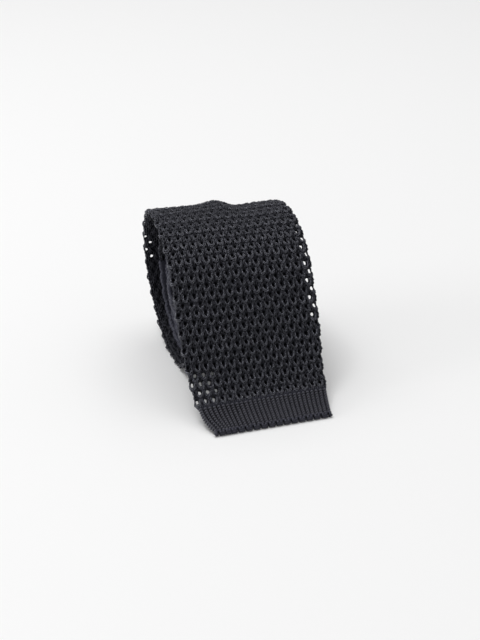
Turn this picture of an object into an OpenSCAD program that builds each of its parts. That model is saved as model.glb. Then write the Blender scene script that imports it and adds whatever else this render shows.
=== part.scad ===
// A knitted necktie with square ends, rolled up and standing on its roll.
// The narrow end is at the core; the wide end comes over the top and runs down to the surface in front.
// Frame: X along the roll's axis, -Y towards the free end, +Z up; the origin is under the box's middle.

/* [Knitted tube] */
// Broadest width of the wide blade, tube pressed flat
blade_w = 60; // [46:1:75]
// Width of the wide square end, which its ribbed band draws in
end_w = 51; // [40:1:70]
// Width of the part that goes round the neck
neck_w = 36; // [30:1:44]
// Width of the narrow square end
rear_w = 44; // [32:1:50]
// Thickness of the flattened tube, both walls together, as wound
cloth_t = 2.2; // [1.6:0.1:2.6]
// Length of tie wound on the roll, without the free end
wound_len = 1345; // [1150:5:1650]
// From the wide end to the seam where the neckband starts
front_len = 560; // [440:5:680]
// From the narrow end to the seam where the neckband stops
rear_len = 400; // [300:5:480]
// From the wide end to where the blade starts to narrow
full_width_len = 92; // [70:1:140]
// Length over which the front blade narrows to the neck's width
taper_len = 320; // [240:5:360]

/* [Ribbed end bands] */
// Depth of the ribbed band on the wide end
band_depth = 13; // [10:1:24]
// Depth of the ribbed band on the narrow end
rear_band_depth = 15; // [8:1:22]
// Depth of the closing row along each square edge
edge_row = 0.8; // [0.5:0.1:1.2]
// Depth of the row that links a band or the neckband to a blade
link_row = 1; // [0.6:0.1:1.4]

/* [Roll] */
// Middle radius of the innermost turn
core_r = 5.5; // [5:0.5:10]
// Gap between one turn and the next
wind_gap = 0.3; // [0.2:0.05:0.6]
// How much looser the outermost turn lies
outer_slack = 1.6; // [1.4:0.1:2.6]
// Half the angle over which the roll's own weight flattens it underneath
seat_half = 15; // [15:15:30]
// How far the outermost turn wanders to the right round the back of the roll
wander = 3; // [0:0.5:5]

/* [Free end] */
// Angle above the horizontal at which the blade leaves the front of the roll
leave_angle = 28; // [20:1:34]
// Slope of the square end, measured from the vertical
tip_angle = 76; // [60:1:80]
// Radius of the outward bend above the square end
bend_r = 34; // [26:1:40]
// Height of the tip's lowest corner over the surface
tip_lift = 0.1; // [0.05:0.05:0.4]

/* [Bend lines] */
// Angle round the roll, from its front, of the line about which the top of the outer turn peels
peel_at = 130; // [115:1:150]
// Slit that parts the cloth at each bend line
slit = 0.2; // [0.1:0.05:0.4]

/* [Back of the blade] */
// Length of the keeper loop across the blade
keeper_len = 36; // [24:1:44]
// Width of the keeper loop along the blade
keeper_w = 11; // [8:1:14]
// Thickness of the keeper loop, lying flat
keeper_t = 0.9; // [0.6:0.1:1]
// From the keeper loop's far edge to the peel line
keeper_gap = 8; // [4:1:16]
// Width of a row of tacking thread at each end of the loop
tack_w = 1.4; // [0.8:0.1:2]
// Width of the blank composition label
label_w = 20; // [12:1:30]
// Length of the label along the blade
label_len = 24; // [14:1:30]
// Thickness of the label
label_t = 0.3; // [0.2:0.05:0.4]
// From the peel line to the label's near edge
label_from = 8; // [4:1:12]
// Width of the satin ribbon inside the neckband
ribbon_w = 12; // [8:1:20]
// Thickness of the ribbon
ribbon_t = 0.4; // [0.2:0.05:0.6]
// Room round the ribbon inside the tube
ribbon_room = 0.1; // [0.05:0.05:0.2]

/* [Hidden] */

// Colours of the dark silk, the ribbed bands, the thread and the satin
silk = [0.09, 0.09, 0.12];
rib_silk = [0.12, 0.12, 0.15];
thread = [0.05, 0.05, 0.07];
satin = [0.20, 0.20, 0.26];

half_t = cloth_t / 2;
pitch = cloth_t + wind_gap;
turn_step = 15;
bottom = 270;
slack_turn = 400;
bend_parts = 8;

// Archimedean spiral: the wound length is the area between two radii divided by the pitch
wound_r = sqrt(core_r * core_r + wound_len * pitch / PI);
wound_angle = 360 * (wound_r - core_r) / pitch;
last_angle = leave_angle + wound_angle;

function ease(v) = let (c = min(max(v, 0), 1)) c * c * (3 - 2 * c);
function off_bottom(b) = b - bottom - 360 * floor((b - bottom + 180) / 360);

// The spiral's angle stands still across the flat seat and catches up on the rest of each turn
function creep(b) =
    let (d = off_bottom(b), past = max(abs(d) - seat_half, 0))
    b - d + sign(d) * past * 180 / (180 - seat_half) - leave_angle;
function spiral_r(b) =
    let (q = creep(b))
    wound_r - pitch * q / 360 + outer_slack * (1 - ease(q / slack_turn));
function seat_factor(b) =
    let (d = abs(off_bottom(b)))
    d < seat_half ? cos(seat_half) / cos(d) : 1;

// Height of the roll's centre, from the flat seat under its outermost turn
axle_z = spiral_r(bottom) * cos(seat_half) + half_t;

function roll_point(b) =
    let (r = spiral_r(b) * seat_factor(b))
    [-r * cos(b), axle_z + r * sin(b)];

// The free end: straight down from the roll, then an outward bend to the tip
leave_pt = roll_point(leave_angle);
tip_z = half_t * sin(tip_angle) + tip_lift;
bend_drop = bend_r * (sin(tip_angle) - sin(leave_angle));
run = (leave_pt[1] - tip_z - bend_drop) / cos(leave_angle);
bend_top = leave_pt + run * [-sin(leave_angle), -cos(leave_angle)];
function bend_point(a) =
    bend_top + bend_r * [cos(a) - cos(leave_angle), sin(leave_angle) - sin(a)];

first_step = turn_step * (floor(leave_angle / turn_step) + 1);
path = concat(
    [for (i = [bend_parts : -1 : 0]) bend_point(leave_angle + (tip_angle - leave_angle) * i / bend_parts)],
    [leave_pt],
    [for (b = [first_step : turn_step : last_angle - 1]) if (abs(off_bottom(b)) > 0.01) roll_point(b)],
    [roll_point(last_angle)]);
last_pt = len(path) - 1;

// Distance along the cloth of each point, from the wide square end
along = [for (i = 0, d = 0; i <= last_pt;
         d = d + (i < last_pt ? norm(path[i + 1] - path[i]) : 0), i = i + 1) d];
tie_len = along[last_pt];
leave_len = along[bend_parts + 1];

function side(i) =
    let (t = (path[i + 1] - path[i]) / norm(path[i + 1] - path[i]))
    [-t[1], t[0]];
// Mitred normal at a point, so that a wall keeps its thickness on both sides of a corner
function corner(i) =
    i == 0 ? side(0)
    : i == last_pt ? side(last_pt - 1)
    : (side(i - 1) + side(i)) / (1 + side(i - 1) * side(i));
function piece_of(d, lo = 0, hi = last_pt) =
    hi - lo <= 1 ? lo
    : let (m = floor((lo + hi) / 2)) along[m] <= d ? piece_of(d, m, hi) : piece_of(d, lo, m);
function on_path(d) =
    let (i = piece_of(d), f = (d - along[i]) / (along[i + 1] - along[i]))
    f < 0.0001 ? [path[i], corner(i)]
    : f > 0.9999 ? [path[i + 1], corner(i + 1)]
    : [path[i] * (1 - f) + path[i + 1] * f, side(i)];

// Distance along the cloth at which the roll passes an angle
function length_at(b) =
    let (p = roll_point(b), i = bend_parts + 2 + floor(b / turn_step) - first_step / turn_step)
    along[i] + norm(p - path[i]);

peel_len = length_at(peel_at);
neck_start = front_len;
neck_stop = tie_len - rear_len;
gathered_w = (blade_w + end_w) / 2;
gather_len = 28;
flare_len = 30;
rear_ease = 1;
wander_len = 190;

function tie_w(d) = lookup(d, [
    [0, end_w],
    [band_depth, gathered_w],
    [band_depth + gather_len, blade_w],
    [full_width_len, blade_w],
    [full_width_len + taper_len, neck_w],
    [neck_stop + flare_len, neck_w],
    [tie_len - rear_band_depth, rear_w + rear_ease],
    [tie_len, rear_w]]);
function tie_x(d) =
    let (f = min(max((d - full_width_len) / wander_len, 0), 1))
    wander * pow(sin(180 * f), 2);

// The box's middle along Y, between the tip and the back of the outermost turn
tip_front = on_path(0)[0][0] - half_t * cos(tip_angle);
back_i = bend_parts + 2 + (180 - first_step) / turn_step;
roll_back = path[back_i][0] + half_t * corner(back_i)[0];
mid_y = (tip_front + roll_back) / 2;

// A band of cloth along the path from d0 to d1, lying between two heights over the middle surface;
// w is its width, or 0 to take the tie's own width, and shift moves it sideways
module strip(d0, d1, low, high, w = 0, shift = 0) {
    stops = concat([d0], [for (d = along) if (d > d0 + 0.02 && d < d1 - 0.02) d], [d1]);
    n = len(stops);
    rings = [for (d = stops)
        let (pn = on_path(d), hw = (w > 0 ? w : tie_w(d)) / 2, x = tie_x(d) + shift,
             a = pn[0] + high * pn[1], b = pn[0] + low * pn[1])
        [[x - hw, a[0] - mid_y, a[1]], [x + hw, a[0] - mid_y, a[1]],
         [x + hw, b[0] - mid_y, b[1]], [x - hw, b[0] - mid_y, b[1]]]];
    points = [for (r = rings) for (p = r) p];
    walls = [for (i = [0 : n - 2]) for (k = [0 : 3])
        let (a = 4 * i + k, b = 4 * i + (k + 1) % 4) each [[a, b + 4, b], [a, a + 4, b + 4]]];
    ends = [[0, 1, 2, 3], [4 * n - 1, 4 * n - 2, 4 * n - 3, 4 * n - 4]];
    polyhedron(points, concat(walls, ends));
}

module cloth(d0, d1) {
    strip(d0, d1, -half_t, half_t);
}

// A row of tacking thread along each side edge of a piece of width w on the blade's back
module side_tacks(d0, d1, thick, w) {
    for (s = [-1, 1]) strip(d0, d1, -half_t - thick, -half_t, tack_w, s * (w + tack_w) / 2);
}

module front_edge_row() {
    color(thread) cloth(0, edge_row);
}

module front_end_band() {
    color(rib_silk) cloth(edge_row, band_depth);
}

module front_link_row() {
    color(thread) cloth(band_depth, band_depth + link_row);
}

module blade_free_end() {
    color(silk) cloth(band_depth + link_row + slit, leave_len - slit / 2);
}

module blade_top_turn() {
    color(silk) cloth(leave_len + slit / 2, peel_len - slit / 2);
}

// The loop lies flat against the back of the blade, across it
keeper_stop = peel_len - keeper_gap;
keeper_start = keeper_stop - keeper_w;
module keeper_loop() {
    color(rib_silk)
        strip(keeper_start, keeper_stop, -half_t - keeper_t, -half_t, keeper_len);
}

module keeper_tacks() {
    color(thread) side_tacks(keeper_start, keeper_stop, keeper_t, keeper_len);
}

module front_blade() {
    color(silk) cloth(peel_len + slit / 2, neck_start);
}

label_start = peel_len + label_from;
module composition_label() {
    color(satin) strip(label_start, label_start + label_len, -half_t - label_t, -half_t, label_w);
}

module label_stitches() {
    color(thread) side_tacks(label_start, label_start + label_len, label_t, label_w);
}

module front_neck_row() {
    color(thread) cloth(neck_start, neck_start + link_row);
}

// The tube is open from end to end for the ribbon, which is caught in the row at each end
module neckband() {
    slot = ribbon_t / 2 + ribbon_room;
    color(silk)
        difference() {
            cloth(neck_start + link_row, neck_stop);
            strip(neck_start, neck_stop + link_row, -slot, slot, ribbon_w + 2 * ribbon_room);
        }
}

module neck_ribbon() {
    color(satin)
        strip(neck_start + link_row, neck_stop, -ribbon_t / 2, ribbon_t / 2, ribbon_w);
}

module rear_neck_row() {
    color(thread) cloth(neck_stop, neck_stop + link_row);
}

module rear_blade() {
    color(silk) cloth(neck_stop + link_row, tie_len - rear_band_depth - link_row);
}

module rear_link_row() {
    color(thread) cloth(tie_len - rear_band_depth - link_row, tie_len - rear_band_depth);
}

module rear_end_band() {
    color(rib_silk) cloth(tie_len - rear_band_depth, tie_len - edge_row);
}

module rear_edge_row() {
    color(thread) cloth(tie_len - edge_row, tie_len);
}

front_edge_row();
front_end_band();
front_link_row();
blade_free_end();
blade_top_turn();
keeper_loop();
keeper_tacks();
front_blade();
composition_label();
label_stitches();
front_neck_row();
neckband();
neck_ribbon();
rear_neck_row();
rear_blade();
rear_link_row();
rear_end_band();
rear_edge_row();
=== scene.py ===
# %% [markdown]
# # A knitted silk necktie, rolled up
# A knitted tie is a narrow seamless tube of knitting, pressed flat, with a finer ribbed band at each square
# end. This one is wound up from its narrow end and stands on its roll, and the wide end comes over the top
# and hangs free down the front. Everything here follows one curve, the way the cloth runs, so that curve
# comes first; then the flattened tube's section, then the stitches, and last the colours and the light.
# All lengths are in millimetres until a mesh is made.

import bmesh
import bpy
import numpy as np
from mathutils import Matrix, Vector


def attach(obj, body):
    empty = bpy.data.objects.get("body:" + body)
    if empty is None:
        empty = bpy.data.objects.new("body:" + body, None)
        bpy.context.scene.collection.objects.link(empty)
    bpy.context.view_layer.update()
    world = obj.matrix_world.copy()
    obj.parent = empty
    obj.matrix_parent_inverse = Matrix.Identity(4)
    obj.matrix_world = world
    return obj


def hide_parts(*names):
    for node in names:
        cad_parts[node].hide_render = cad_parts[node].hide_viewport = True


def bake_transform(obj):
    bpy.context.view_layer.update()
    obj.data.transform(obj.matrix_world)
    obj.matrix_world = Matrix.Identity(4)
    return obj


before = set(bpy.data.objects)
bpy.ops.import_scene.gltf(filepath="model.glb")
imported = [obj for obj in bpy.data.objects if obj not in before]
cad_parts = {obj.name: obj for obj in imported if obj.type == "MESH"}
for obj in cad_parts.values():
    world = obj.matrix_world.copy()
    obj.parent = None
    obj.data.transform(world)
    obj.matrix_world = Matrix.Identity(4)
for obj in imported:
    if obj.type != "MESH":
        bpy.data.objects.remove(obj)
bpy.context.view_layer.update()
MM = 0.001

# %% [markdown]
# ## The way the cloth runs
# Seen from the side, the tie is a spiral that stands on a flat seat, with a free end: an outward bend at the
# tip, a straight run, and then the roll from its front, over the top and round, twelve times, to the core.
# A spiral of constant pitch is the shape of any tape wound on itself. The curve is worked out as a long list
# of points, and every later shape asks it for a place and an outward direction at a distance along the cloth.

# %% Sizes of the roll and the free end
CLOTH = 2.2
HALF = CLOTH / 2
PITCH = CLOTH + 0.3
CORE_R = 5.5
WOUND = 1345
SLACK = 1.6
SEAT = 15
LEAVE = 28
TIP = 76
BEND_R = 34
TIP_LIFT = 0.1
ROLL_R = np.sqrt(CORE_R ** 2 + WOUND * PITCH / np.pi)
TURNED = 360 * (ROLL_R - CORE_R) / PITCH


def cos(a):
    return np.cos(np.radians(a))


def sin(a):
    return np.sin(np.radians(a))


def ease(v):
    """0 below 0, 1 above 1, and the smooth step 3v^2 - 2v^3 between."""
    c = np.clip(v, 0, 1)
    return c * c * (3 - 2 * c)


# %% The spiral
def off_bottom(b):
    """The angle from the underside of the roll, from -180 to 180 degrees."""
    return b - 270 - 360 * np.floor((b - 90) / 360)


def spiral_r(b):
    """Radius at angle b: the first radius less one pitch a turn, with the outermost turn a little slack.
    The angle stands still across the flat seat and catches up on the rest of the turn."""
    d = off_bottom(b)
    past = np.maximum(np.abs(d) - SEAT, 0)
    q = b - d + np.sign(d) * past * 180 / (180 - SEAT) - LEAVE
    return ROLL_R - PITCH * q / 360 + SLACK * (1 - ease(q / 400))


def roll_point(b):
    """Place (y, z) at angle b from the roll's front, over the top: the circle, cut straight at the seat."""
    d = np.abs(off_bottom(b))
    r = spiral_r(b) * np.where(d < SEAT, cos(SEAT) / cos(d), 1)
    return np.stack([-r * cos(b), AXLE_Z + r * sin(b)], -1)


AXLE_Z = spiral_r(270.0) * cos(SEAT) + HALF
leave_point = roll_point(LEAVE)
tip_z = HALF * sin(TIP) + TIP_LIFT
run = (leave_point[1] - tip_z - BEND_R * (sin(TIP) - sin(LEAVE))) / cos(LEAVE)
bend_top = leave_point - run * np.array([sin(LEAVE), cos(LEAVE)])

# %% The whole path, from the square tip to the core
SAMPLES = 60
bend_angle = np.linspace(TIP, LEAVE, SAMPLES)
bend = bend_top + BEND_R * np.stack([cos(bend_angle) - cos(LEAVE), sin(LEAVE) - sin(bend_angle)], -1)
straight = bend_top + np.linspace(0, 1, SAMPLES)[1:, None] * (leave_point - bend_top)
wound = roll_point(np.arange(LEAVE + 1, LEAVE + TURNED, 1.0))
path = np.concatenate([bend, straight, wound])
STEP = 0.25


def lengths(points):
    """Distance along a row of points from the first one."""
    return np.concatenate([[0], np.cumsum(np.linalg.norm(np.diff(points, axis=0), axis=1))])


def evenly(points, step):
    """The same curve with a point every step."""
    d = lengths(points)
    s = np.arange(0, d[-1], step)
    return np.stack([np.interp(s, d, points[:, k]) for k in (0, 1)], -1)


path = evenly(path, STEP)
SOFTEN = 9
longer = np.concatenate([2 * path[0] - path[SOFTEN:0:-1], path, 2 * path[-1] - path[-2:-SOFTEN - 2:-1]])
window = np.ones(2 * SOFTEN + 1) / (2 * SOFTEN + 1)
path = np.stack([np.convolve(longer[:, k], window, "valid") for k in (0, 1)], -1)
path_s = lengths(path)
tangent = np.gradient(path, axis=0)
tangent /= np.linalg.norm(tangent, axis=1)[:, None]
outward = np.stack([-tangent[:, 1], tangent[:, 0]], -1)
MID_Y = (path[0, 0] - HALF * cos(TIP) + path[:, 0].max() + HALF) / 2
path[:, 0] -= MID_Y
LENGTH = path_s[-1]
print("the tie is %.0f mm long" % LENGTH)


def on_path(s):
    """Places and outward directions (y, z) at distances s along the cloth."""
    place = np.stack([np.interp(s, path_s, path[:, k]) for k in (0, 1)], -1)
    out = np.stack([np.interp(s, path_s, outward[:, k]) for k in (0, 1)], -1)
    return place, out / np.linalg.norm(out, axis=-1, keepdims=True)


# %% [markdown]
# ## How wide the tie is, and how it wanders
# The ribbed band draws the square end in. The blade is broadest above it, narrows towards the neck and widens
# a little again at the narrow end. The outer turn wanders to one side round the back, because nobody winds a
# tie perfectly straight. Widths between the given stations are eased, so that the edges have no corners.

# %% Widths and sideways shifts along the cloth
BAND = 13
LINK = 1
FRONT_LEN = 560
NECK_STOP = LENGTH - 400
NARROW_BAND = 15
BLADE_W, NECK_W = 60, 36
BACK = 92
stations = [0, BAND, BAND + 28, BACK, 412, NECK_STOP + 30, LENGTH - NARROW_BAND, LENGTH]
widths = [51, 55.5, BLADE_W, BLADE_W, NECK_W, NECK_W, 45, 44]
print("widths %s mm" % widths)


def tie_w(s):
    """Width at distance s, averaged over 12 mm so that the outline is smooth."""
    near = [np.interp(np.clip(s + d, 0, LENGTH), stations, widths) for d in (-6, -3, 0, 3, 6)]
    return np.mean(near, axis=0)


def tie_x(s):
    """Sideways shift of the cloth's middle: one smooth swing to the right round the back of the roll."""
    return 3 * np.sin(np.pi * np.clip((s - BACK) / 190, 0, 1)) ** 2


KEEPER_MID = 110


def lift(x, s):
    """How far the outer turn rides over what lies under it. Each part is a rounded hill, exp(-(distance)^2):
    a bump over the keeper loop, a shallow sag beside it, and the left half standing loose round the top."""
    bump = 1.7 * np.exp(-((x - 0.5) / 4.8) ** 2 - ((s - KEEPER_MID) / 8.0) ** 2)
    sag = -0.4 * np.exp(-((x - 10) / 7.0) ** 2 - ((s - KEEPER_MID) / 16.0) ** 2)
    loose = 1.7 * ease((12 - x) / 18) * np.exp(-((s - 113) / 22.0) ** 2)
    corner = 0.9 * ease((-x - 8) / 20) * np.exp(-((s - 138) / 26.0) ** 2)
    return bump + sag + loose + corner


def uneven(a, b, k):
    """A smooth wander between about -1 and 1: a sum of three waves of unlike lengths and directions."""
    return (np.sin(1.9 * a + 0.7 * b + 1.3 * k) + np.sin(0.8 * a - 2.1 * b + 2.9 * k)
            + np.sin(3.1 * a + 1.6 * b + 4.1 * k)) / 2.2


# %% [markdown]
# ## The flattened tube
# Pressed flat, the tube has two walls and two folded side edges. Its section is a stadium: two straight sides
# joined by half circles. A place in the cloth is given in stitches: `across` runs from the left fold (0) to
# the right fold (32), `wall` is +1 for the outer wall and -1 for the inner one, and `rise` is the height over
# the wall's own middle. One function turns such places into points in space, for the yarn and for the ground.

# %% From stitches to space
WALES = 32
WALL = 0.55
COURSE = 1.8
KNIT_FROM = BAND + LINK + 0.2


def wall_gap(s):
    """Half the distance between the two walls' middles; the walls come together at both square ends."""
    return WALL * (0.45 + 0.55 * ease(s / 4) * ease((LENGTH - s) / 4))


def in_space(across, wall, s, rise, wales=WALES):
    """Points of the tube. The section is a stadium of half-width a and half-height h: within a quarter arc of
    the fold the point goes round the half circle, otherwise it lies on the straight side."""
    h = wall_gap(s)
    beat = 2 * np.pi * (s - KNIT_FROM) / COURSE
    a = tie_w(s) / 2 - 0.2 + ease(s - BAND) * (0.22 * np.sin(beat / 4) + 0.12 * np.sin(beat / 2 + 1))
    quarter = np.pi * h / 2
    half_girth = 2 * (a - h) + 2 * quarter
    d = across / wales * half_girth
    from_edge = np.minimum(d, half_girth - d)
    side = np.where(d < half_girth / 2, -1.0, 1.0)
    angle = np.clip(from_edge / h, 0, np.pi / 2)
    x = side * (a - h + h * np.cos(angle) - np.maximum(from_edge - quarter, 0))
    nx, nz = side * np.cos(angle), np.sin(angle)
    z = h * nz
    place, out = on_path(s)
    x = x + rise * nx
    z = wall * (z + rise * nz) + lift(x, s)
    x = x + tie_x(s) + 1.8 * np.exp(-(s / 5) ** 2) * ease((-x - 14) / 10)
    return np.stack([x, place[..., 0] + z * out[..., 0], place[..., 1] + z * out[..., 1]], -1)


# %% [markdown]
# ## Stitches with eyelets
# The blade is plain knitting with a hole wherever a loop is moved onto its neighbour: every second stitch of
# every second course, and each row of holes is set off by one stitch. Instead of tracing each moved loop, the
# plain loops are laid out first and then pushed away from the middle of each eyelet, as a bodkin would push
# them. They bunch round the hole's rim, as the real ones do.

# %% The eyelets
RIM = 0.42
WIDER = 0.2


def see_through(across, s):
    """1 where light comes through both walls, 0 where the inner wall's fibres close its eyelets. It comes
    through near the right fold over the front of the roll, some way in on the left of the free end, and close
    to the left fold round the back."""
    right = ease((across - WALES + 2.5) / 0.8) * ease((s - 41) / 6) * ease((99 - s) / 4)
    left = ease((6.2 - across) / 1.0) * ease((31 - s) / 2)
    back = ease((2.2 - across) / 0.6) * ease((s - 135) / 2) * ease((153 - s) / 2)
    return np.maximum(np.maximum(right, left), back)


def round_half_to(value, parity):
    """The nearest whole number that has the given parity."""
    return 2 * np.round((value - parity) / 2) + parity


def push(across, up):
    """Moves places out of the eyelets. Row m of eyelets lies at up = 2m + 1, and its holes at the stitches
    whose number has the row's parity. A distance r from the middle, up to 1, becomes rim + (1 - rim) r^1.3,
    and the rim is a little wider where light comes through."""
    new_across, new_up = across.copy(), up.copy()
    row0 = np.floor(up / 2)
    for step in (-1, 0, 1):
        row = row0 + step
        middle = round_half_to(across - 0.5, np.mod(row, 2)) + 0.5
        dx, dy = across - middle, up - (2 * row + 1)
        r = np.hypot(dx, dy) + 1e-6
        inside = (r < 1) & (middle > 0) & (middle < WALES)
        hole = RIM + WIDER * see_through(middle, KNIT_FROM + COURSE * (2 * row + 1))
        far = hole + (1 - hole) * np.minimum(r, 1) ** 1.3
        new_across = np.where(inside, middle + dx / r * far, new_across)
        new_up = np.where(inside, 2 * row + 1 + dy / r * far, new_up)
    return np.clip(new_across, 0, WALES), new_up


# %% [markdown]
# ## Meshes from whole arrays
# Two makers are enough: one lays a surface over a grid of points, the other lays a four-sided strand along
# many rows of points at once. Both also write the piece's own UV map, so a pattern can follow the knitting.

# %% Mesh makers
def new_piece(name, points, quads, uv, finish):
    """A smooth-shaded mesh object from points in millimetres, quads as rows of four indices, and one UV pair
    for each corner of each quad."""
    mesh = bpy.data.meshes.new(name)
    mesh.vertices.add(len(points))
    mesh.vertices.foreach_set("co", (points * MM).astype(np.float32).ravel())
    mesh.loops.add(quads.size)
    mesh.loops.foreach_set("vertex_index", quads.astype(np.int32).ravel())
    mesh.polygons.add(len(quads))
    mesh.polygons.foreach_set("loop_start", np.arange(0, quads.size, 4, dtype=np.int32))
    mesh.polygons.foreach_set("loop_total", np.full(len(quads), 4, dtype=np.int32))
    mesh.polygons.foreach_set("use_smooth", np.ones(len(quads), dtype=bool))
    layer = mesh.uv_layers.new(name="along_the_cloth")
    layer.data.foreach_set("uv", uv.astype(np.float32).ravel())
    mesh.update()
    mesh.validate()
    mesh.materials.append(finish)
    piece = bpy.data.objects.new(name, mesh)
    bpy.context.scene.collection.objects.link(piece)
    print("%-24s %6d faces" % (name, len(quads)))
    return piece


def kept(points, quads):
    """Drops the points that no quad uses."""
    used = np.unique(quads)
    place = np.zeros(len(points), int)
    place[used] = np.arange(len(used))
    return points[used], place[quads]


ON_FLOOR = 0.02
PER_STITCH = 12


def strands(name, centre, normal, radius, finish, closed):
    """Four-sided strands. centre and normal are (strands, points, 3). Each ring is set square to the strand:
    across = tangent x normal, up = across x tangent, and its corners lie at 45, 135, 225 and 315 degrees. A
    yarn that meets the floor is pressed flat on it."""
    n, m = centre.shape[:2]
    if closed:
        along = np.roll(centre, -1, 1) - np.roll(centre, 1, 1)
    else:
        along = np.gradient(centre, axis=1)
    along /= np.linalg.norm(along, axis=-1, keepdims=True) + 1e-9
    across = np.cross(along, normal)
    across /= np.linalg.norm(across, axis=-1, keepdims=True) + 1e-9
    up = np.cross(across, along)
    turn = np.radians([45, 135, 225, 315])
    radius = np.broadcast_to(radius, centre.shape[:2])[..., None, None]
    ring = (centre[:, :, None] + radius * (np.cos(turn)[:, None] * across[:, :, None]
                                           + np.sin(turn)[:, None] * up[:, :, None]))
    ring[..., 2] = np.maximum(ring[..., 2], ON_FLOOR)
    steps = m if closed else m - 1
    i, j, k = np.meshgrid(np.arange(n), np.arange(steps), np.arange(4), indexing="ij")
    nxt = (j + 1) % m
    at = lambda jj, kk: (i * m + jj) * 4 + kk % 4
    quads = np.stack([at(j, k), at(nxt, k), at(nxt, k + 1), at(j, k + 1)], -1).reshape(-1, 4)
    corner = lambda jj, kk: np.stack([jj / PER_STITCH, kk / 4.0], -1)
    uv = np.stack([corner(j, k), corner(j + 1, k), corner(j + 1, k + 1), corner(j, k + 1)], -2)
    uv = uv.reshape(-1, 2)
    if not closed:
        first = (np.arange(n) * m * 4)[:, None]
        last = first + (m - 1) * 4
        quads = np.concatenate([quads, first + np.array([0, 1, 2, 3]), last + np.array([3, 2, 1, 0])])
        uv = np.concatenate([uv, np.zeros((8 * n, 2))])
    return new_piece(name, ring.reshape(-1, 3), quads, uv, finish)


# %% [markdown]
# ## The yarn
# A course of plain knitting is one yarn that rises into a loop at each stitch. Over one stitch, with t going
# once round, it runs t / 2pi + 0.24 sin 2t across, -H cos t up and -D cos 2t out: the double angle is what
# pinches the loop at its foot and lets it pass behind the row below. Twelve points a stitch are enough.

# %% Courses of yarn
def course_yarn(name, first, last, finish, spread=None, wales=WALES, pitch=COURSE, start=KNIT_FROM,
                eyelets=True, tall=0.72, deep=0.3, radius=0.31, rib=0.0, swing=0.24, lift_out=0.0):
    """Courses first to last of the tube. spread None goes right round it; a number of stitches covers the
    outer wall and only that far round each fold."""
    closed = spread is None
    g0, g1 = (0, 2 * wales) if closed else (-spread, wales + spread)
    t = np.arange((g1 - g0) * PER_STITCH + (0 if closed else 1)) * 2 * np.pi / PER_STITCH
    v = np.arange(first, last)[:, None] + 0.0
    g = g0 + t / (2 * np.pi) + swing * np.sin(2 * t) + 0 * v
    up = v - tall * np.cos(t)
    rise = lift_out - deep * np.cos(2 * t) - rib * (1 + np.cos(t)) / 2 + 0 * v
    wall = np.where((g >= 0) & (g <= wales), 1.0, -1.0)
    across = np.where(g < 0, -g, np.where(g > wales, 2 * wales - g, g))
    across = np.abs(across)
    if eyelets:
        swell = np.cos(np.pi * (across - 0.5)) * np.cos(np.pi * (up - 1) / 2)
        rise = rise - 0.2 * swell + 0.05 * uneven(across, up, 3)
        radius = radius * (1 - 0.22 * swell)
        rough = np.random.default_rng(first + 1)
        up = up + 0.07 * uneven(across, up, 1) + rough.normal(0, 0.04, up.shape)
        rise = rise + rough.normal(0, 0.07, up.shape)
        radius = radius * rough.uniform(0.75, 1.15, up.shape)
        across, up = push(across + 0.06 * uneven(across, up, 2), up)
    s = start + pitch * up
    centre = in_space(across, wall, s, rise, wales)
    normal = in_space(across, wall, s, rise + 0.2, wales) - centre
    return strands(name, centre, normal, radius, finish, closed)


# %% [markdown]
# ## The held loops
# Under each eyelet the knitting holds one loop of doubled yarn. It hangs round the hole like a necklace:
# with t from -112 to 112 degrees, measured from its lowest place, it runs 1.35 sin t across and -2.1 cos t
# along, and dives into the cloth at both ends. Every second row of them is pulled tighter, so it stands up
# less.

# %% Rows of held loops
HELD_REACH = 112
HELD_POINTS = 12


def held_loops(name, first, last, finish, inner=False, pressed=0.0):
    """The held loops of courses first to last, two yarns to a loop, each one a little turned and slubby.
    Where another turn lies on them they are pressed down."""
    m, j, side, ply = np.meshgrid(np.arange(first // 2, last // 2), np.arange(WALES // 2),
                                  [1.0, -1.0] if inner else [1.0], [-1.0, 1.0], indexing="ij")
    across = (2 * j + np.mod(m, 2) + 0.5).ravel()[:, None]
    up, side, ply = (2.0 * m + 1).ravel()[:, None], side.ravel()[:, None], ply.ravel()[:, None]
    proud = 1 - 0.35 * np.mod((up - 1) / 2, 2)
    rough = np.random.default_rng(first + 7)
    jog = rough.normal(0, 0.08, (4, len(up), HELD_POINTS))
    t = np.radians(np.linspace(-HELD_REACH, HELD_REACH, HELD_POINTS))[None]
    far = np.abs(t) / t.max()
    size = (1 + 0.1 * uneven(across, up, 5)) * (1 + 0.14 * ply)
    turn = 0.25 * uneven(across, up, 6)
    dx = 1.35 * np.sin(t) * (0.7 + 0.3 * far) * size + jog[0]
    dy = -2.1 * np.cos(t) * size * (0.8 + 0.2 * proud) + jog[1]
    new_across = across + (dx * np.cos(turn) - dy * np.sin(turn)) * WALES / BLADE_W
    new_across = np.clip(new_across + 0.1 * uneven(across, up, 7), 0.05, WALES - 0.05)
    s = KNIT_FROM + COURSE * up + dx * np.sin(turn) + dy * np.cos(turn) + 0.25 * uneven(across, up, 8)
    rise = 0.62 * proud - 0.1 - 0.5 * far ** 3 + 0.12 * uneven(across, up, 9) - 0.08 * ply + jog[2] - pressed
    centre = in_space(new_across, side, s, rise)
    normal = in_space(new_across, side, s, rise + 0.2) - centre
    radius = (0.31 - 0.08 * far ** 2) * (0.75 + 0.25 * proud) * (1 + 1.6 * jog[3])
    return strands(name, centre, normal, radius, finish, False)


# %% [markdown]
# ## The ground between the loops
# Silk yarn is a bundle of fine plies, and its loose fibres close the small gaps between the loops but not the
# eyelets. A thin ground at the middle of each wall stands for them; it is coloured far darker than the yarn,
# as painted shade in the gaps. It is a grid with a point every half stitch; the four squares at each eyelet
# are left out and the points round them are drawn onto a circle.

# %% The ground, with real eyelets
EYE = 0.34


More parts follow.
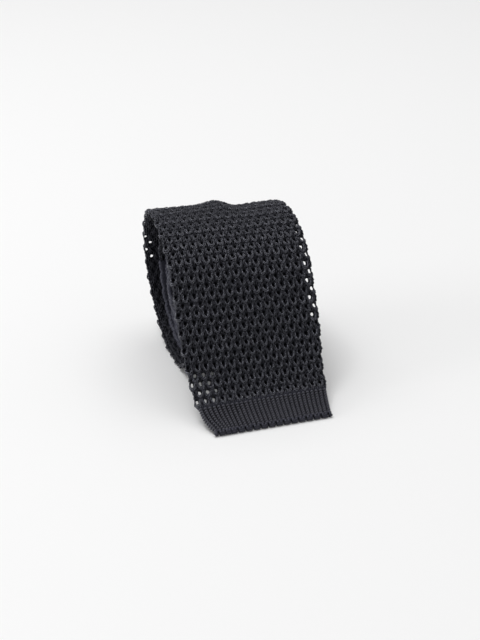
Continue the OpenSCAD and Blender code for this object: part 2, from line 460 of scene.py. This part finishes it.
def ground(name, first, last, finish):
    """The tube's walls from course first to last, as one sheet. Every eyelet of the outer wall is an
    eight-sided hole, and so are the inner wall's where light comes through."""
    gi = np.arange(0, 4 * WALES)
    vi = np.arange(2 * first, 2 * last + 1)
    g, v = np.meshgrid(gi / 2, vi / 2, indexing="ij")
    wall = np.where(g <= WALES, 1.0, -1.0)
    across = np.where(g > WALES, 2 * WALES - g, g)
    row = np.floor(v / 2)
    new_across, new_up = across.copy(), v.copy()
    for step in (-1, 0, 1):
        m = row + step
        middle = round_half_to(across - 0.5, np.mod(m, 2)) + 0.5
        dx, dy = across - middle, v - (2 * m + 1)
        on_rim = (np.maximum(np.abs(dx), np.abs(dy)) == 0.5) & (middle > 0) & (middle < WALES)
        on_rim &= (across > 0) & (across < WALES)
        on_rim &= (wall > 0) | (see_through(middle, KNIT_FROM + COURSE * (2 * m + 1)) > 0.5)
        r = np.hypot(dx, dy) + 1e-9
        hole = EYE + 0.15 * see_through(middle, KNIT_FROM + COURSE * (2 * m + 1))
        new_across = np.where(on_rim, middle + dx / r * hole, new_across)
        new_up = np.where(on_rim, 2 * m + 1 + dy / r * hole, new_up)
    s = KNIT_FROM + COURSE * new_up
    points = in_space(new_across, wall, s, np.full_like(s, -0.1)).reshape(-1, 3)
    n, m = len(gi), len(vi)
    i, j = np.meshgrid(np.arange(n), np.arange(m - 1), indexing="ij")
    mid_g, mid_v = (i + 0.5) / 2, (vi[0] + j + 0.5) / 2
    mid_across = np.where(mid_g > WALES, 2 * WALES - mid_g, mid_g)
    hole_row = np.floor(mid_v / 2)
    middle = round_half_to(mid_across - 0.5, np.mod(hole_row, 2)) + 0.5
    solid = (np.abs(mid_across - middle) > 0.5) | (np.abs(mid_v - (2 * hole_row + 1)) > 0.5)
    lit = see_through(middle, KNIT_FROM + COURSE * (2 * hole_row + 1)) > 0.5
    solid |= (mid_g > WALES) & ~lit
    i, j = i[solid], j[solid]
    nxt = (i + 1) % n
    quads = np.stack([i * m + j, nxt * m + j, nxt * m + j + 1, i * m + j + 1], -1)
    uv = np.stack([i, vi[0] + j, i + 1, vi[0] + j, i + 1, vi[0] + j + 1, i, vi[0] + j + 1], -1) / 2.0
    piece = new_piece(name, *kept(points, quads), uv.reshape(-1, 2), finish)
    opened = (2 * float(np.mean(tie_w(s))) * MM, COURSE * (last - first) * MM)
    return piece, opened


# %% A closed length of tube for the plainer lengths
FOLD = [0, 0.12, 0.25, 0.4, 0.6, 0.8, 1, 1.25, 1.5, 1.75, 2, 2.5, 3, 3.5, 4]
STEP_RING = COURSE / 3


def tube(name, s0, s1, finish, step=STEP_RING, relief=0.22, ribs=0, rib=0.0, skin=0.42):
    """A closed length of flattened tube. Its columns crowd together at the folds, where the roll's ends show
    them. The surface rises by relief cos 2pi(s / course + |2 frac(across) - 1| / 2), the slant of the
    stitches' legs, and sinks by rib (1 + cos 2pi across) / 2 between ribs."""
    if ribs:
        one = np.arange(0, ribs + 0.01, 0.25)
        wales = ribs
    else:
        wales = WALES
        one = np.concatenate([FOLD, np.arange(6, WALES - 5, 2.0), WALES - np.array(FOLD[::-1])])
    n = len(one)
    across = np.concatenate([one, one[-2:0:-1]])
    wall = np.concatenate([np.ones(n), -np.ones(n - 2)])
    rings = max(int(round((s1 - s0) / step)), 2) + 1
    s, a = np.meshgrid(np.linspace(s0, s1, rings), across, indexing="ij")
    slant = np.abs(2 * np.mod(a, 1) - 1) / 2
    rise = skin + relief * np.cos(2 * np.pi * (s / COURSE + slant)) - rib * (1 + np.cos(2 * np.pi * a)) / 2
    points = in_space(a, np.broadcast_to(wall, a.shape), s, rise, wales).reshape(-1, 3)
    m = len(across)
    i, j = np.meshgrid(np.arange(rings - 1), np.arange(m), indexing="ij")
    nxt = (j + 1) % m
    quads = np.stack([i * m + j, i * m + nxt, (i + 1) * m + nxt, (i + 1) * m + j], -1).reshape(-1, 4)
    girth = np.concatenate([one, 2 * wales - one[-2:0:-1], [2 * wales]])
    row = s[:, 0] / COURSE
    u0, v0, u1, v1 = girth[j], row[i], girth[j + 1], row[i + 1]
    uv = np.stack([u0, v0, u1, v0, u1, v1, u0, v1], -1)
    piece = new_piece(name, points, quads, uv.reshape(-1, 2), finish)
    close_ends(piece)
    return piece


def pressed_flat(s0, s1):
    """Width and length, in metres, of a length of tube pressed flat."""
    return float(np.mean(tie_w(np.linspace(s0, s1, 40)))) * MM, (s1 - s0) * MM


def close_ends(piece):
    """Closes the open ends of a length of tube with one face each, and points every face outwards."""
    work = bmesh.new()
    work.from_mesh(piece.data)
    bmesh.ops.holes_fill(work, edges=[e for e in work.edges if e.is_boundary], sides=0)
    bmesh.ops.recalc_face_normals(work, faces=work.faces)
    work.to_mesh(piece.data)
    work.free()


# %% Strips and threads that lie on the blade's back
def strip(name, s0, s1, half_width, low, high, finish, columns=24, crown=0.0, ribs=0, wave=0.0):
    """A closed flat strip across the cloth, between two heights over the cloth's middle. Its section is a
    rounded bar, sqrt(1 - a^6) thick at a across from -1 to 1, and it thins at its two ends in the same way.
    Its edges may wave a little, and its ribs rise by crown cos 2pi ribs a."""
    rings = max(int((s1 - s0) / 0.5), 6) + 1
    u = np.linspace(-1, 1, columns)
    one = np.sin(u * np.pi / 2)
    around = np.concatenate([one, one[-2:0:-1]])
    side = np.concatenate([np.ones(columns), -np.ones(columns - 2)])
    f, a = np.meshgrid(np.linspace(0, 1, rings), around, indexing="ij")
    s = s0 + (s1 - s0) * f
    edge = 1 + wave * np.sin(2 * np.pi * s / COURSE)
    x = half_width * a * edge
    full = np.sqrt(np.clip(1 - a ** 6, 0, 1)) * np.sqrt(np.clip(1 - (2 * f - 1) ** 10, 0.04, 1))
    height = (low + high) / 2 + side * full * (high - low) / 2
    height = height + crown * np.cos(2 * np.pi * ribs * a) * full * side
    place, out = on_path(s)
    points = np.stack([x + tie_x(s), place[..., 0] + height * out[..., 0],
                       place[..., 1] + height * out[..., 1]], -1).reshape(-1, 3)
    m = len(around)
    i, j = np.meshgrid(np.arange(rings - 1), np.arange(m), indexing="ij")
    nxt = (j + 1) % m
    quads = np.stack([i * m + j, i * m + nxt, (i + 1) * m + nxt, (i + 1) * m + j], -1).reshape(-1, 4)
    count = np.append(around * ribs, around[0] * ribs) + 0.5 if ribs else np.arange(m + 1) / m * 8.0
    u0, v0 = count[j], s[:, 0][i] / COURSE
    u1, v1 = count[j + 1], s[:, 0][i + 1] / COURSE
    uv = np.stack([u0, v0, u1, v0, u1, v1, u0, v1], -1)
    piece = new_piece(name, points, quads, uv.reshape(-1, 2), finish)
    close_ends(piece)
    return piece


def stitches(name, rows, s0, s1, height, reach, count, finish, radius=0.16):
    """Over-and-under stitches in rows along the cloth at the given places across: each is an arc that rises
    by sin over the edge it holds and dives at both ends."""
    t = np.linspace(0, 1, 9)
    s = np.linspace(s0 + 0.8, s1 - 0.8, count)
    centre, normal = [], []
    for x0 in rows:
        x = x0 + reach * (t - 0.5) * 2
        along = s[:, None] + 0.35 * (t - 0.5)
        high = height - 0.22 * np.sin(np.pi * t)
        place, out = on_path(along)
        centre.append(np.stack([x + tie_x(along), place[..., 0] + high * out[..., 0],
                                place[..., 1] + high * out[..., 1]], -1))
        normal.append(np.stack([0 * along, -out[..., 0], -out[..., 1]], -1))
    return strands(name, np.concatenate(centre), np.concatenate(normal), radius, finish, False)


# %% [markdown]
# ## Colours and finishes
# Dyed silk is almost black here, with a cool violet cast. Where the light would catch the plies, their ridges
# are painted lighter in the base colour, a painted highlight. Its gloss comes from the shader, with a little
# sheen for the fine surface hairs. Three node groups are shared: one gives the slanting plies of a twisted
# yarn from the strand's own UV, one the uneven dye from the place in space with the painted light added to
# it, and one the tops of the ribs, painted lighter than the grooves between them as painted light and painted
# shade.

# %% Node helpers and shared groups
def group(name, inputs, outputs):
    """A new shader node group with named float or colour sockets, its input node and its output node."""
    tree = bpy.data.node_groups.new(name, "ShaderNodeTree")
    for label, kind, value in inputs:
        tree.interface.new_socket(label, in_out="INPUT", socket_type=kind).default_value = value
    for label, kind in outputs:
        tree.interface.new_socket(label, in_out="OUTPUT", socket_type=kind)
    return tree, tree.nodes.new("NodeGroupInput"), tree.nodes.new("NodeGroupOutput")


def node(tree, kind, **settings):
    """A new node with its properties set by name and its inputs by socket name or number."""
    made = tree.nodes.new(kind)
    for key, value in settings.pop("inputs", {}).items():
        made.inputs[key].default_value = value
    for key, value in settings.items():
        setattr(made, key, value)
    return made


def math_node(tree, operation, a, b=None):
    """operation of a and b, each a socket or a number."""
    made = node(tree, "ShaderNodeMath", operation=operation)
    for k, value in enumerate((a, b)):
        if value is None:
            continue
        if isinstance(value, (int, float)):
            made.inputs[k].default_value = value
        else:
            tree.links.new(value, made.inputs[k])
    return made.outputs[0]


FLOAT, COLOUR = "NodeSocketFloat", "NodeSocketColor"


def plies_group():
    """Height of slanting plies: |sin pi (turns u + plies v)|, where u runs along the strand and v round
    it."""
    tree, given, out = group("twisted_plies", [("Turns", FLOAT, 3.0), ("Plies", FLOAT, 3.0)],
                             [("Height", FLOAT)])
    place = node(tree, "ShaderNodeTexCoord")
    split = node(tree, "ShaderNodeSeparateXYZ")
    tree.links.new(place.outputs["UV"], split.inputs[0])
    along = math_node(tree, "MULTIPLY", split.outputs[0], given.outputs["Turns"])
    round_it = math_node(tree, "MULTIPLY", split.outputs[1], given.outputs["Plies"])
    slant = math_node(tree, "MULTIPLY", math_node(tree, "ADD", along, round_it), np.pi)
    wave = math_node(tree, "ABSOLUTE", math_node(tree, "SINE", slant))
    tree.links.new(wave, out.inputs["Height"])
    return tree


def dye_and_light_group():
    """Uneven dye and painted light: a coarse and a fine noise in space, plus the painted light it is given,
    mixed between a deep and a pale colour.
    """
    tree, given, out = group("dye_and_painted_light", [("Deep", COLOUR, (0, 0, 0, 1)), ("Pale", COLOUR, (1, 1, 1, 1)),
                                            ("Painted light", FLOAT, 0.0)],
                             [("Colour", COLOUR), ("Patch", FLOAT)])
    place = node(tree, "ShaderNodeTexCoord")
    coarse = node(tree, "ShaderNodeTexNoise", inputs={"Scale": 90.0, "Detail": 2.0})
    fine = node(tree, "ShaderNodeTexNoise", inputs={"Scale": 900.0, "Detail": 3.0})
    tree.links.new(place.outputs["Object"], coarse.inputs["Vector"])
    tree.links.new(place.outputs["Object"], fine.inputs["Vector"])
    both = math_node(tree, "ADD", math_node(tree, "MULTIPLY", coarse.outputs[0], 0.5),
                     math_node(tree, "MULTIPLY", fine.outputs[0], 0.5))
    patch = math_node(tree, "ADD", both, given.outputs["Painted light"])
    mix = node(tree, "ShaderNodeMix", data_type="RGBA", clamp_factor=True)
    share = math_node(tree, "SUBTRACT", math_node(tree, "MULTIPLY", patch, 2.2), 0.6)
    tree.links.new(share, mix.inputs[0])
    tree.links.new(given.outputs["Deep"], mix.inputs[6])
    tree.links.new(given.outputs["Pale"], mix.inputs[7])
    tree.links.new(mix.outputs[2], out.inputs["Colour"])
    tree.links.new(patch, out.inputs["Patch"])
    return tree


def crest_group():
    """How near a place is to the top of its rib: |sin pi u| - 0.62, where u counts the ribs along the
    yarn. Added to the base colour, it paints light on the ribs' tops and shade in their grooves."""
    tree, given, out = group("rib_crest_painted_light", [("Amount", FLOAT, 1.0)], [("Crest", FLOAT)])
    place = node(tree, "ShaderNodeTexCoord")
    split = node(tree, "ShaderNodeSeparateXYZ")
    tree.links.new(place.outputs["UV"], split.inputs[0])
    turned = math_node(tree, "MULTIPLY", split.outputs[0], np.pi)
    wave = math_node(tree, "ABSOLUTE", math_node(tree, "SINE", turned))
    crest = math_node(tree, "MULTIPLY", math_node(tree, "SUBTRACT", wave, 0.62), given.outputs["Amount"])
    tree.links.new(crest, out.inputs["Crest"])
    return tree


PLIES, DYE_AND_LIGHT, CREST = plies_group(), dye_and_light_group(), crest_group()


# %% Silk in its several forms
def silk(name, deep, pale, rough=(0.38, 0.6), sheen=0.25, turns=3.0, plies=3.0, bump=0.25, depth=0.00008,
         specular=0.5, ribbed=0.0, coat=0.0):
    """Dyed silk: colour from the uneven dye, with a painted highlight on the plies' ridges and, on ribbed
    silk, painted light on the ribs' tops and painted shade in their grooves; roughness from the dye's
    patches, height from the plies."""
    finish = bpy.data.materials.new(name)
    finish.use_nodes = True
    tree = finish.node_tree
    shader = tree.nodes["Principled BSDF"]
    shader.inputs["Sheen Weight"].default_value = sheen
    shader.inputs["Sheen Roughness"].default_value = 0.45
    shader.inputs["Sheen Tint"].default_value = (0.72, 0.72, 0.95, 1)
    shader.inputs["Specular IOR Level"].default_value = specular
    shader.inputs["Specular Tint"].default_value = (0.84, 0.86, 1.0, 1)
    shader.inputs["Coat Weight"].default_value = coat
    shader.inputs["Coat Roughness"].default_value = 0.2
    strand = node(tree, "ShaderNodeGroup", node_tree=PLIES)
    strand.inputs["Turns"].default_value = turns
    strand.inputs["Plies"].default_value = plies
    dye = node(tree, "ShaderNodeGroup", node_tree=DYE_AND_LIGHT)
    dye.inputs["Deep"].default_value = (*deep, 1)
    dye.inputs["Pale"].default_value = (*pale, 1)
    # The plies' ridges are painted lighter in the base colour: a painted highlight along the yarn.
    painted_light = math_node(tree, "MULTIPLY", math_node(tree, "SUBTRACT", strand.outputs[0], 0.6), 0.35)
    # The ribs' tops are painted lighter and their grooves darker in the base colour: painted light and
    # painted shade.
    if ribbed:
        crest = node(tree, "ShaderNodeGroup", node_tree=CREST)
        crest.inputs["Amount"].default_value = ribbed
        painted_light = math_node(tree, "ADD", painted_light, crest.outputs[0])
    tree.links.new(painted_light, dye.inputs["Painted light"])
    tree.links.new(dye.outputs["Colour"], shader.inputs["Base Color"])
    span = node(tree, "ShaderNodeMapRange", inputs={"From Min": 0.25, "From Max": 0.8, "To Min": rough[1],
                                                    "To Max": rough[0]})
    tree.links.new(dye.outputs["Patch"], span.inputs["Value"])
    tree.links.new(span.outputs[0], shader.inputs["Roughness"])
    relief = node(tree, "ShaderNodeBump", inputs={"Strength": bump, "Distance": depth})
    tree.links.new(strand.outputs[0], relief.inputs["Height"])
    tree.links.new(relief.outputs[0], shader.inputs["Normal"])
    return finish


# The courses' yarn is the same silk as the held loops' but several times darker: painted shade under and
# between the loops, with the loops' paler silk as the lit copy.
knit_silk_painted_shade = silk("knit_silk_painted_shade", (0.0015, 0.0015, 0.0025), (0.006, 0.006, 0.009), rough=(0.3, 0.5), sheen=0.04,
                 turns=5.0, bump=0.6, depth=0.0001, specular=0.6)
loop_silk = silk("loop_silk", (0.003, 0.003, 0.005), (0.031, 0.031, 0.041), rough=(0.17, 0.32), coat=0.3,
                 sheen=0.08, turns=8.0, plies=2.0, bump=0.8, depth=0.0002, specular=0.9)
# Near black and darker than any yarn: the ground is painted shade in the gaps between the loops and in the
# band's grooves.
ground_painted_shade = silk("ground_painted_shade", (0.001, 0.001, 0.002), (0.004, 0.004, 0.006), rough=(0.6, 0.8), sheen=0.03,
                   turns=2.0, plies=2.0, bump=0.4, specular=0.2)
# The band's yarn gets painted light on its ribs' tops and painted shade in the grooves between them.
band_silk = silk("band_silk", (0.0005, 0.0005, 0.001), (0.090, 0.090, 0.106), rough=(0.3, 0.9), sheen=0.02,
                 ribbed=0.9, specular=0.42)
inner_silk = silk("inner_silk", (0.010, 0.010, 0.017), (0.040, 0.040, 0.056), sheen=0.08, turns=1.0,
                  plies=2.0, bump=0.5, depth=0.0002)
row_silk = silk("row_silk", (0.006, 0.006, 0.010), (0.026, 0.026, 0.038), sheen=0.08)
sewing_thread = silk("sewing_thread", (0.010, 0.010, 0.014), (0.030, 0.030, 0.038), turns=6.0)
satin = silk("satin", (0.020, 0.020, 0.034), (0.050, 0.050, 0.075), rough=(0.22, 0.34), sheen=0.1,
             turns=9.0, plies=12.0, bump=0.12, depth=0.00003)
print("finishes:", [finish.name for finish in bpy.data.materials])

# %% [markdown]
# ## How the pieces move
# The top of the outer turn peels off the roll, the free end lifts from it, and the square end folds. Each
# crosses one hinge only. Lengths on the roll alone ride its body, and a length between two bodies only has
# its transform baked.

# %% Following the bodies
def point(s):
    """The place of the cloth's middle at distance s, in metres."""
    place, _ = on_path(np.array([float(s)]))
    return (0.0, float(place[0, 0]) * MM, float(place[0, 1]) * MM)


ROLL = ("roll",)
PEEL = ("roll", "top_turn", 134, 113)
LIFT = ("top_turn", "free_end", 72, 53)
FOLD_UP = ("free_end", "square_end", 21, 7)


def follow(pieces, move):
    """Every piece given one body rides it; a piece given two bodies and two places on the cloth only has its
    transform baked.
    """
    for piece in pieces:
        if len(move) == 1:
            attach(piece, move[0])
        else:
            point(move[2])
            point(move[3])
            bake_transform(piece)


def knitted(name, first, last, move, nodes, spread=None, parts=1, pressed=0.0):
    """One length of the open mesh: its ground, its yarn in as many parts as asked, and its held loops."""
    base, opened = ground(name + "_ground", first, last, ground_painted_shade)
    ends = np.linspace(first, last, parts + 1).astype(int)
    yarn = [course_yarn(name + "_yarn" + ("_%d" % (k + 1) if parts > 1 else ""), ends[k], ends[k + 1],
                        knit_silk_painted_shade, spread) for k in range(parts)]
    yarn.append(held_loops(name + "_held_loops", first, last, loop_silk, inner=spread is None,
                           pressed=pressed))
    follow([base] + yarn, move)
    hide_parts(*nodes)


# %% [markdown]
# ## The open mesh blade
# Five lengths: the end above the band, the drop down the front, the top of the outer turn, the rest of the
# outer turn round the back and underneath, and as much of the second turn as shows when the first is peeled
# off it. Their courses carry on from one to the next.

# %% The blade's visible lengths
TIP_TOP, DROP_TOP, PEEL_TOP, TURN_END, SHOWN_END = 14, 40, 72, 144, 184
knitted("blade_end", 0, TIP_TOP, FOLD_UP, ["blade_free_end"])
knitted("blade_drop", TIP_TOP, DROP_TOP, LIFT, ["blade_free_end", "blade_top_turn"])
knitted("top_turn", DROP_TOP, PEEL_TOP, PEEL, ["blade_top_turn", "front_blade"], spread=8)
knitted("outer_turn", PEEL_TOP, TURN_END, ROLL, ["front_blade"], spread=5, parts=3)
knitted("second_turn", TURN_END, SHOWN_END, ROLL, ["front_blade"], spread=2, parts=2, pressed=0.4)
OUTER_END = KNIT_FROM + COURSE * SHOWN_END

# %% [markdown]
# ## The ribbed band, its linking row and the closing row
# The band is knitted finer than the blade, in ribs: the stitches' heads stand up in columns and the yarn
# between them sinks. The linking row joins it to the blade, and the closing row makes the little scallops.

# %% The wide square end
RIBS = 29
BAND_COURSE = 1.15
CLOSING = 0.8


def band(name, s0, s1, ribs, move, nodes, under=0.0):
    """One ribbed band: closed ground with grooves, and yarn in ribs over it. The ground may run on under the
    linking row."""
    # The band's ground carries the near-black painted shade in the grooves between the ribs.
    base = tube(name + "_ground", s0, s1 + under, ground_painted_shade, step=0.6, relief=0.0, ribs=ribs, rib=0.6,
                skin=0.1)
    count = int(round((s1 - s0) / BAND_COURSE))
    yarn = course_yarn(name + "_yarn", 0, count, band_silk, wales=ribs, pitch=(s1 - s0) / count,
                       start=s0 + 0.5, eyelets=False, tall=0.25, deep=0.0, radius=0.34, rib=1.0,
                       swing=0.0, lift_out=0.45)
    follow([base, yarn], move)
    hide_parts(*nodes)
    pressed_flat(s0, s1 + under)


def row(name, s, wales, move, nodes, tall=0.42, radius=0.3):
    """A single row of small loops right round the tube."""
    piece = course_yarn(name, 0, 1, row_silk, wales=wales, pitch=1.0, start=s, eyelets=False, tall=tall,
                        deep=0.14, radius=radius, swing=0.16, lift_out=0.16)
    follow([piece], move)
    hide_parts(*nodes)


band("wide_band", CLOSING, BAND, RIBS, FOLD_UP, ["front_end_band"], under=1.4)
row("wide_closing_row", 0.2, 16, FOLD_UP, ["front_edge_row"], tall=1.2, radius=0.62)
row("wide_linking_row", BAND + LINK / 2, WALES, FOLD_UP, ["front_link_row"], tall=0.6, radius=0.34)

# %% [markdown]
# ## Inside the roll
# The rest of the blade, the neckband and the narrow blade are wound inside, where only their folded edges
# show at the roll's two ends. A closed tube with the stitches' relief is enough there.

# %% The inner turns
NARROW_STOP = LENGTH - (NARROW_BAND + LINK)
NARROW_RIBS = 24
for name, s0, s1, cad_node in (("inner_blade", OUTER_END, FRONT_LEN, "front_blade"),
                               ("neckband_tube", FRONT_LEN + LINK, NECK_STOP, "neckband"),
                               ("narrow_blade", NECK_STOP + LINK, NARROW_STOP, "rear_blade")):
    length = tube(name, s0, s1, inner_silk)
    follow([length], ROLL)
    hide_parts(cad_node)
    pressed_flat(s0, s1)
row("front_neck_linking_row", FRONT_LEN + LINK / 2, NARROW_RIBS, ROLL, ["front_neck_row"])
row("rear_neck_linking_row", NECK_STOP + LINK / 2, NARROW_RIBS, ROLL, ["rear_neck_row"])
row("narrow_linking_row", LENGTH - (NARROW_BAND + LINK / 2), NARROW_RIBS, ROLL, ["rear_link_row"])
band("narrow_band", LENGTH - NARROW_BAND, LENGTH - CLOSING, NARROW_RIBS, ROLL, ["rear_end_band"])
row("narrow_closing_row", LENGTH - 0.55, 30, ROLL, ["rear_edge_row"])

# %% The ribbon inside the neckband
RIBBON_W = 12
ribbon = strip("neck_satin_ribbon", FRONT_LEN + LINK, NECK_STOP, RIBBON_W / 2, -0.2, 0.2, satin)
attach(ribbon, "roll")
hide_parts("neck_ribbon")

# %% [markdown]
# ## On the back of the blade
# The keeper loop is a short ribbed strip across the back, tacked at both ends, through which the narrow
# blade passes when the tie is worn. The label is a plain piece of satin with no words, held by two rows of
# stitches.

# %% Keeper loop, label and their threads
PEEL_AT = 123.6
KEEPER_SIZE, LABEL_SIZE = (36, 11), (20, 24)
KEEPER = (PEEL_AT - 19, PEEL_AT - 8)
keeper = strip("keeper_loop_knit", KEEPER[0], KEEPER[1], KEEPER_SIZE[0] / 2, -HALF - 0.9, -HALF - 0.1,
               band_silk, columns=120, crown=0.14, ribs=10, wave=0.004)
keeper_thread = stitches("keeper_thread", (-18.4, 18.4), KEEPER[0], KEEPER[1], -HALF - 0.45, 0.8, 7,
                         sewing_thread)
LABEL = (PEEL_AT + 8, PEEL_AT + 32)
label = strip("blank_label", LABEL[0], LABEL[1], LABEL_SIZE[0] / 2, -HALF - 0.32, -HALF - 0.06, satin)
label_thread = stitches("label_thread", (-10.3, 10.3), LABEL[0], LABEL[1], -HALF - 0.2, 0.6, 14,
                        sewing_thread, radius=0.12)
for piece, body, slot, node_name in ((keeper, "top_turn", "rib_knit", "keeper_loop"),
                                     (keeper_thread, "top_turn", "thread", "keeper_tacks"),
                                     (label, "roll", "satin", "composition_label"),
                                     (label_thread, "roll", "thread", "label_stitches")):
    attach(piece, body)
    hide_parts(node_name)

# %% [markdown]
# ## Floor, light and camera
# A pale floor and a pale surrounding light make a plain studio. One large soft light hangs above and behind
# the tie, so that the top of the roll catches it and the front falls into its own shade. A smaller one high
# on the left gives the held loops their glints, and a weak one low on the left reaches into the roll's end.

# %% The floor
floor_mesh = bpy.data.meshes.new("floor")
REACH = 6.0
floor_mesh.from_pydata([(-REACH, -REACH, 0), (REACH, -REACH, 0), (REACH, REACH, 0), (-REACH, REACH, 0)], [],
                       [(0, 1, 2, 3)])
floor = bpy.data.objects.new("floor", floor_mesh)
bpy.context.scene.collection.objects.link(floor)
pale = bpy.data.materials.new("pale_floor")
pale.use_nodes = True
pale.node_tree.nodes["Principled BSDF"].inputs["Base Color"].default_value = (0.9, 0.9, 0.9, 1)
pale.node_tree.nodes["Principled BSDF"].inputs["Roughness"].default_value = 0.9
floor_mesh.materials.append(pale)

# %% Light
world = bpy.data.worlds.new("studio")
bpy.context.scene.world = world
world.use_nodes = True
world.node_tree.nodes["Background"].inputs["Color"].default_value = (1, 1, 1, 1)
world.node_tree.nodes["Background"].inputs["Strength"].default_value = 0.32
bpy.context.scene.view_settings.view_transform = "Standard"


def soft_light(name, place, aim, size, power):
    """A square soft light at a place, turned to face a point."""
    data = bpy.data.lights.new(name, "AREA")
    data.size, data.energy = size, power
    lamp = bpy.data.objects.new(name, data)
    lamp.location = place
    lamp.rotation_euler = (Vector(aim) - Vector(place)).to_track_quat("-Z", "Y").to_euler()
    bpy.context.scene.collection.objects.link(lamp)


soft_light("overhead", (-0.1, 0.9, 2.5), (-0.1, 0.5, 0), 3.2, 43)
soft_light("left_fill", (-1.2, 0.05, 0.3), (0, 0, 0.03), 0.6, 4.5)
soft_light("key", (-0.5, 0.1, 2.0), (0, 0, 0.03), 0.7, 12)
print("lights:", [lamp.name for lamp in bpy.data.lights])

# %% Camera
camera_data = bpy.data.cameras.new("camera")
camera_data.lens = 66.7
camera_data.shift_x, camera_data.shift_y = 0.0023, -0.0162
camera_data.clip_start = 0.01
camera = bpy.data.objects.new("camera", camera_data)
AIM = Vector((0, -0.007, 0.032))
AZIMUTH, ELEVATION, AWAY = -17.8, 26.0, 0.5
back = Vector((sin(AZIMUTH) * cos(ELEVATION), -cos(AZIMUTH) * cos(ELEVATION), sin(ELEVATION)))
camera.location = AIM + AWAY * back
camera.rotation_euler = back.to_track_quat("Z", "Y").to_euler()
bpy.context.scene.collection.objects.link(camera)
bpy.context.scene.camera = camera
print("the camera stands %.2f m from the tie" % AWAY)
